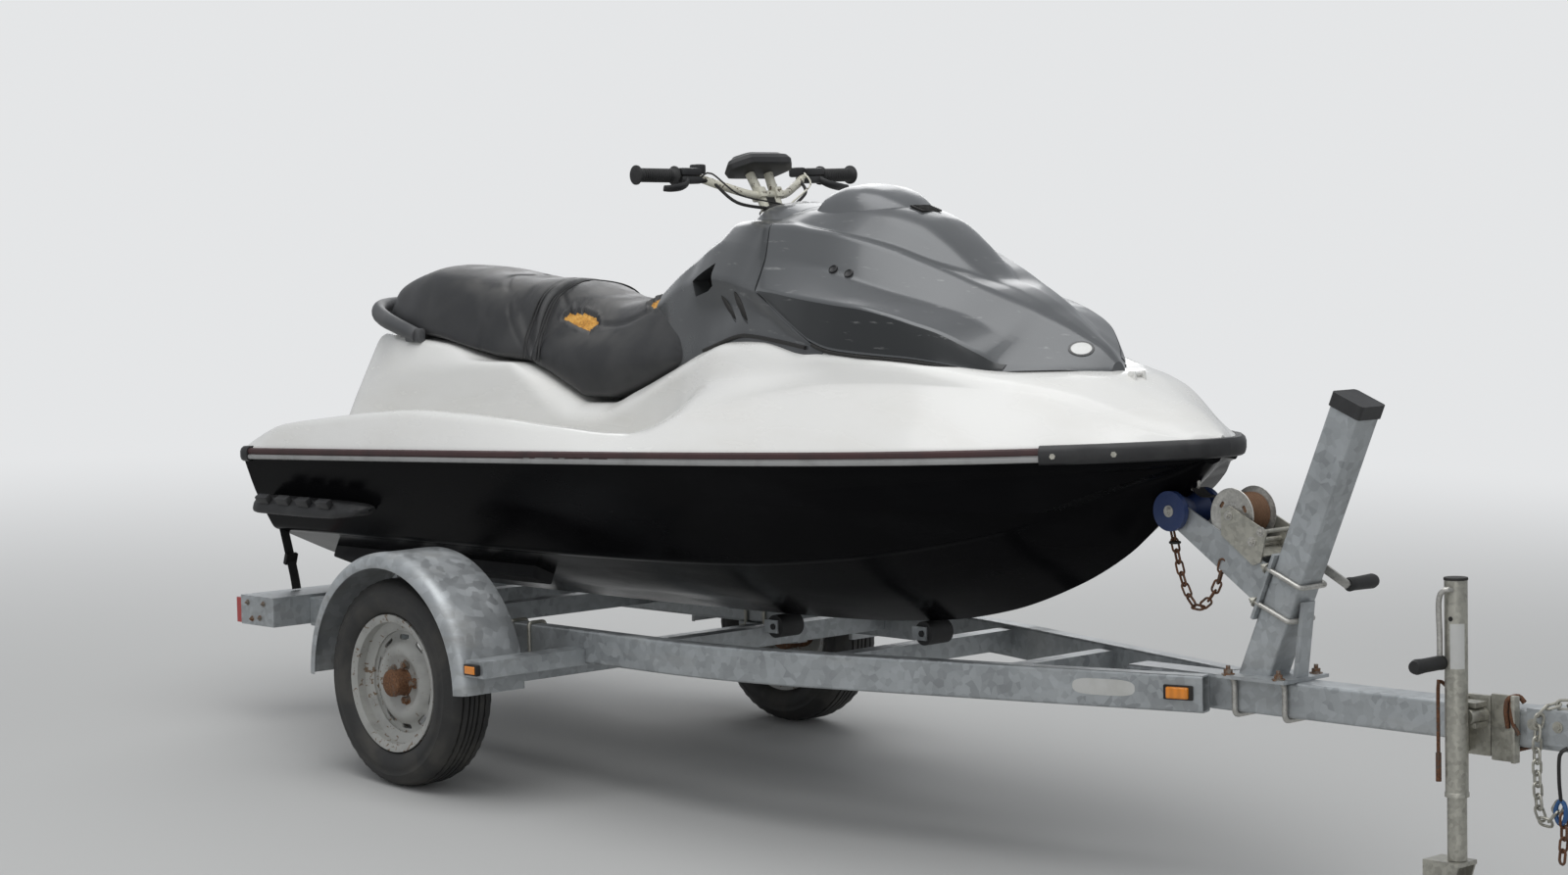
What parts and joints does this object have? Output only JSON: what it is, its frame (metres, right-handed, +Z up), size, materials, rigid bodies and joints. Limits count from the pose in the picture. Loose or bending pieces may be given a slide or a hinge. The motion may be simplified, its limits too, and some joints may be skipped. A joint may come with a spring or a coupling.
{
  "type": "personal watercraft on a trailer",
  "caption": "Seated jet-driven watercraft with a hinged front hood, resting on bunks and rollers of a single-axle galvanised road trailer with winch post and jockey wheel.",
  "frame": {"origin": "bottom centre of the bounding box, on the ground under the middle of the outfit", "axes": "+X towards the bow and the coupler, +Y to port, +Z up"},
  "size_m": [4.52, 1.59, 1.6752],
  "materials": {
    "axle": "hot-dip galvanised, spangled and dulled",
    "bar_pad": "black rubber",
    "bow_roller": "dark blue polyurethane",
    "bumpers": "black rubber",
    "bunk_posts": "hot-dip galvanised, spangled and dulled",
    "bunks": "black carpet on board",
    "console": "metallic grey moulding",
    "coupler": "hot-dip galvanised, spangled and dulled",
    "cross_members": "hot-dip galvanised, spangled and dulled",
    "deck": "gloss white gelcoat",
    "engine": "painted casting",
    "fender_brackets": "hot-dip galvanised, spangled and dulled",
    "fender_left": "hot-dip galvanised, spangled and dulled",
    "fender_right": "hot-dip galvanised, spangled and dulled",
    "gauge_dome": "metallic grey moulding",
    "grab_handle": "dark grey moulding",
    "grips": "black rubber",
    "handlebar": "cream paint, chipped",
    "hood": "metallic grey moulding",
    "hood_hinge": "hot-dip galvanised, spangled and dulled",
    "hood_sides": "metallic grey moulding",
    "hub_left": "rusty casting",
    "hub_right": "rusty casting",
    "hull": "gloss black gelcoat",
    "jack_fork": "hot-dip galvanised, spangled and dulled",
    "jack_inner": "hot-dip galvanised, spangled and dulled",
    "jack_outer": "hot-dip galvanised, spangled and dulled",
    "jockey_wheel": "black rubber",
    "keel_rollers": "black rubber",
    "lamp_board": "hot-dip galvanised, spangled and dulled",
    "post_cap": "moulded black plastic",
    "pump_housing": "cast, dull",
    "rear_lamps": "red lens",
    "ride_plate": "cast, dull",
    "rim_left": "silver paint, dirty",
    "rim_right": "silver paint, dirty",
    "roller_arm": "hot-dip galvanised, spangled and dulled",
    "roller_brackets": "hot-dip galvanised, spangled and dulled",
    "rub_rail": "dark grey extrusion",
    "seat_front": "worn black vinyl",
    "seat_rear": "worn black vinyl",
    "side_beam_left": "hot-dip galvanised, spangled and dulled",
    "side_beam_right": "hot-dip galvanised, spangled and dulled",
    "side_markers": "amber lens",
    "sponsons": "moulded black plastic",
    "steer_nozzle": "cast, dull",
    "switches": "moulded black plastic",
    "tongue": "hot-dip galvanised, spangled and dulled",
    "tyre_left": "worn road tyre",
    "tyre_right": "worn road tyre",
    "winch_drum": "zinc plated, dulled",
    "winch_frame": "zinc plated, dulled",
    "winch_post": "hot-dip galvanised, spangled and dulled"
  },
  "bodies": {
    "base": {"axle": "axle", "bow_roller": "bow_roller", "bumpers": "bumpers", "bunk_posts": "bunk_posts", "bunks": "bunks", "console": "console", "coupler": "coupler", "cross_members": "cross_members", "deck": "deck", "engine": "engine", "fender_brackets": "fender_brackets", "fender_left": "fender_left", "fender_right": "fender_right", "grab_handle": "grab_handle", "hood_hinge": "hood_hinge", "hull": "hull", "jack_outer": "jack_outer", "keel_rollers": "keel_rollers", "lamp_board": "lamp_board", "post_cap": "post_cap", "pump_housing": "pump_housing", "rear_lamps": "rear_lamps", "ride_plate": "ride_plate", "roller_arm": "roller_arm", "roller_brackets": "roller_brackets", "rub_rail": "rub_rail", "seat_front": "seat_front", "seat_rear": "seat_rear", "side_beam_left": "side_beam_left", "side_beam_right": "side_beam_right", "side_markers": "side_markers", "sponsons": "sponsons", "tongue": "tongue", "winch_drum": "winch_drum", "winch_frame": "winch_frame", "winch_post": "winch_post"},
    "hood": {"hood": "hood", "hood_sides": "hood_sides", "gauge_dome": "gauge_dome"},
    "steering": {"handlebar": "handlebar", "bar_pad": "bar_pad", "grips": "grips", "switches": "switches"},
    "nozzle": {"steer_nozzle": "steer_nozzle"},
    "wheel_left": {"tyre_left": "tyre_left", "rim_left": "rim_left", "hub_left": "hub_left"},
    "wheel_right": {"tyre_right": "tyre_right", "rim_right": "rim_right", "hub_right": "hub_right"},
    "jack_leg": {"jack_inner": "jack_inner"},
    "jack_swivel": {"jack_fork": "jack_fork"},
    "jockey": {"jockey_wheel": "jockey_wheel"}
  },
  "joints": [
    {"name": "wheel_left_spin", "type": "hinge", "parent": "base", "child": "wheel_left", "pos_m": [-1.18156, 0.699, 0.2735], "axis": [0, 1, 0], "continuous": true},
    {"name": "wheel_right_spin", "type": "hinge", "parent": "base", "child": "wheel_right", "pos_m": [-1.18156, -0.699, 0.2735], "axis": [0, 1, 0], "continuous": true},
    {"name": "steering_turn", "type": "hinge", "parent": "base", "child": "steering", "pos_m": [-0.55512, 0, 1.50447], "axis": [-0.4695, 0, 0.8829], "range_deg": [-20, 20]},
    {"name": "nozzle_turn", "type": "hinge", "parent": "base", "child": "nozzle", "pos_m": [-2.12418, 0, 0.47094], "axis": [-0.0523, 0, 0.9986], "range_deg": [-20, 20]},
    {"name": "hood_lift", "type": "hinge", "parent": "base", "child": "hood", "pos_m": [0.67931, 0, 1.18464], "axis": [0, 1, 0], "range_deg": [0, 60]},
    {"name": "jack_slide", "type": "slide", "parent": "base", "child": "jack_leg", "axis": [-0.0523, 0, 0.9986], "range_m": [-0.08, 0.12]},
    {"name": "jack_swivel_turn", "type": "hinge", "parent": "jack_leg", "child": "jack_swivel", "pos_m": [1.68873, -0.13, 0.24765], "axis": [-0.0523, 0, 0.9986], "continuous": true},
    {"name": "jockey_spin", "type": "hinge", "parent": "jack_swivel", "child": "jockey", "pos_m": [1.65167, -0.13, 0.095], "axis": [0, 1, 0], "continuous": true}
  ],
  "couplings": [
    {"joint": "nozzle_turn", "follows": "steering_turn", "ratio": -1}
  ]
}
